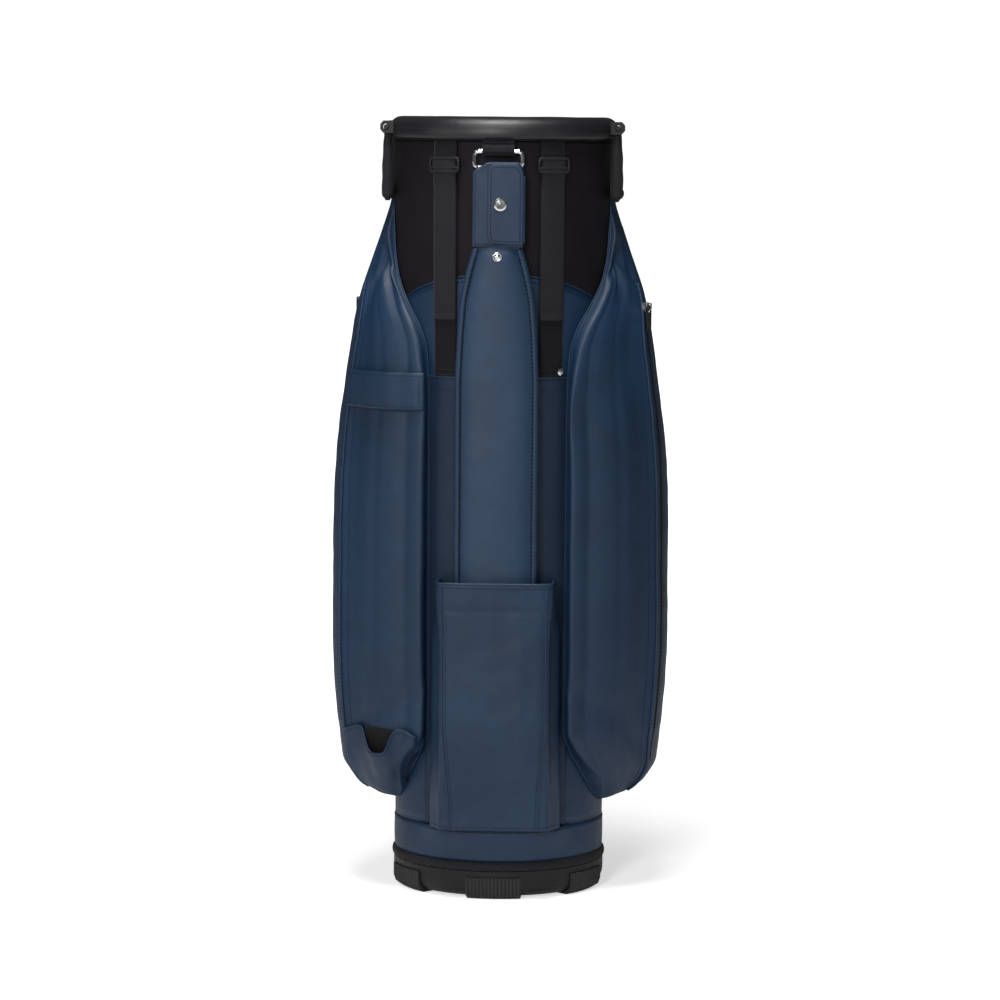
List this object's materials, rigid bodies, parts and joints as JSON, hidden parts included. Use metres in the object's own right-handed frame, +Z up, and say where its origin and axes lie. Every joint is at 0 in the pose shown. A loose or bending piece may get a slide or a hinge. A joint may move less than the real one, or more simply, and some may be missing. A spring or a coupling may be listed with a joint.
{
  "type": "golf staff bag",
  "caption": "Free-standing golf staff bag: round tube with padded cuff and divided top, long side pockets, stacked front pockets, ringed shoulder strap, and a ribbed moulded base",
  "frame": {"origin": "centre of the foot ring on the floor, on the tube's axis", "axes": "+Z up, along the tube; -Y is the side with the shoulder strap; +X is the right-hand side when facing the strap"},
  "size_m": [0.386, 0.3609, 0.884],
  "materials": {
    "moulded_plastic": "satin moulded",
    "foot_rubber": "ribbed matt",
    "webbing": "ribbed woven",
    "navy_leather": "fine pebble grain synthetic leather, satin",
    "tube_board": "matt sheet",
    "black_leather": "fine grain synthetic leather, satin",
    "lining": "brushed",
    "bright_metal": "polished"
  },
  "bodies": {
    "bag": {"base_tray": "moulded_plastic", "foot_1": "foot_rubber", "foot_2": "foot_rubber", "foot_3": "foot_rubber", "foot_4": "foot_rubber", "foot_5": "foot_rubber", "foot_6": "foot_rubber", "base_piping": "webbing", "base_band": "navy_leather", "tube_shell": "tube_board", "body_cover": "navy_leather", "upper_cover": "black_leather", "top_cuff": "black_leather", "divider_ring": "moulded_plastic", "divider_long_front": "lining", "divider_long_back": "lining", "divider_cross_front": "lining", "divider_cross_middle": "lining", "divider_cross_back": "lining", "side_pocket_left": "navy_leather", "side_pocket_right": "navy_leather", "umbrella_loop": "navy_leather", "umbrella_cup": "navy_leather", "strap_sleeve": "navy_leather", "ball_pocket": "navy_leather", "accessory_pocket": "navy_leather", "valuables_pocket": "navy_leather", "strap_anchor": "webbing", "webbing_left": "webbing", "webbing_right": "webbing", "panel_rivet": "bright_metal", "handle_ear_left_back": "moulded_plastic", "handle_ear_left_front": "moulded_plastic", "handle_ear_right_back": "moulded_plastic", "handle_ear_right_front": "moulded_plastic", "towel_tab": "black_leather"},
    "strap_upper": {"d_ring": "bright_metal", "strap_wrap": "navy_leather", "snap_stud": "bright_metal", "strap_pad_upper": "navy_leather", "wrap_rivet": "bright_metal"},
    "strap_lower": {"strap_pad_lower": "navy_leather"},
    "wrap_flap": {"wrap_flap": "navy_leather", "snap_cap": "bright_metal"},
    "tri_glide_left": {"tri_glide_left": "moulded_plastic"},
    "tri_glide_right": {"tri_glide_right": "moulded_plastic"},
    "handle_left": {"handle_left": "black_leather"},
    "handle_right": {"handle_right": "black_leather"},
    "towel_ring": {"towel_ring": "bright_metal"},
    "zip_slider_ball": {"zip_slider_ball": "bright_metal"},
    "pull_tab_ball": {"pull_tab_ball": "webbing"},
    "zip_slider_accessory": {"zip_slider_accessory": "bright_metal"},
    "pull_tab_accessory": {"pull_tab_accessory": "webbing"},
    "zip_slider_valuables": {"zip_slider_valuables": "bright_metal"},
    "pull_tab_valuables": {"pull_tab_valuables": "webbing"},
    "zip_slider_left": {"zip_slider_left": "bright_metal"},
    "pull_tab_left": {"pull_tab_left": "webbing"},
    "zip_slider_right": {"zip_slider_right": "bright_metal"},
    "pull_tab_right": {"pull_tab_right": "webbing"}
  },
  "joints": [
    {"name": "strap_swing", "type": "hinge", "parent": "bag", "child": "strap_upper", "pos_m": [0, -0.1335, 0.843], "axis": [1, 0, 0], "range_deg": [-26, 0]},
    {"name": "strap_fold", "type": "hinge", "parent": "strap_upper", "child": "strap_lower", "pos_m": [0, -0.1275, 0.573], "axis": [1, 0, 0], "range_deg": [0, 52]},
    {"name": "wrap_flap_open", "type": "hinge", "parent": "strap_upper", "child": "wrap_flap", "pos_m": [0.0285, -0.14, 0.785], "axis": [0, 0, 1], "range_deg": [0, 110]},
    {"name": "tri_glide_left_slide", "type": "slide", "parent": "bag", "child": "tri_glide_left", "axis": [0, 0, 1], "range_m": [-0.06, 0.012]},
    {"name": "tri_glide_right_slide", "type": "slide", "parent": "bag", "child": "tri_glide_right", "axis": [0, 0, 1], "range_m": [-0.06, 0.012]},
    {"name": "handle_left_swing", "type": "hinge", "parent": "bag", "child": "handle_left", "pos_m": [-0.131, 0, 0.869], "axis": [0, 1, 0], "range_deg": [0, 100]},
    {"name": "handle_right_swing", "type": "hinge", "parent": "bag", "child": "handle_right", "pos_m": [0.131, 0, 0.869], "axis": [0, -1, 0], "range_deg": [0, 100]},
    {"name": "towel_ring_swing", "type": "hinge", "parent": "bag", "child": "towel_ring", "pos_m": [0, 0.13164, 0.72], "axis": [1, 0, 0], "range_deg": [0, 90]},
    {"name": "zip_ball_slide", "type": "slide", "parent": "bag", "child": "zip_slider_ball", "axis": [1, 0, 0], "range_m": [0, 0.08]},
    {"name": "pull_tab_ball_swing", "type": "hinge", "parent": "zip_slider_ball", "child": "pull_tab_ball", "pos_m": [-0.04, 0.20339, 0.3071], "axis": [1, 0, 0], "range_deg": [0, 75]},
    {"name": "zip_accessory_slide", "type": "slide", "parent": "bag", "child": "zip_slider_accessory", "axis": [1, 0, 0], "range_m": [0, 0.076]},
    {"name": "pull_tab_accessory_swing", "type": "hinge", "parent": "zip_slider_accessory", "child": "pull_tab_accessory", "pos_m": [-0.038, 0.18479, 0.4991], "axis": [1, 0, 0], "range_deg": [0, 75]},
    {"name": "zip_valuables_slide", "type": "slide", "parent": "bag", "child": "zip_slider_valuables", "axis": [1, 0, 0], "range_m": [0, 0.068]},
    {"name": "pull_tab_valuables_swing", "type": "hinge", "parent": "zip_slider_valuables", "child": "pull_tab_valuables", "pos_m": [-0.034, 0.1659, 0.6491], "axis": [1, 0, 0], "range_deg": [0, 75]},
    {"name": "zip_left_slide", "type": "slide", "parent": "bag", "child": "zip_slider_left", "axis": [-0.1919, 0.042, -0.9805], "range_m": [0, 0.07]},
    {"name": "pull_tab_left_swing", "type": "hinge", "parent": "zip_slider_left", "child": "pull_tab_left", "pos_m": [-0.168, 0.04012, 0.6691], "axis": [0.5722, 0.8201, 0], "range_deg": [0, 75]},
    {"name": "zip_right_slide", "type": "slide", "parent": "bag", "child": "zip_slider_right", "axis": [0.1919, -0.042, -0.9805], "range_m": [0, 0.07]},
    {"name": "pull_tab_right_swing", "type": "hinge", "parent": "zip_slider_right", "child": "pull_tab_right", "pos_m": [0.168, -0.04012, 0.6691], "axis": [-0.5722, -0.8201, 0], "range_deg": [0, 75]}
  ],
  "couplings": [
    {"joint": "strap_fold", "follows": "strap_swing", "ratio": -2}
  ]
}
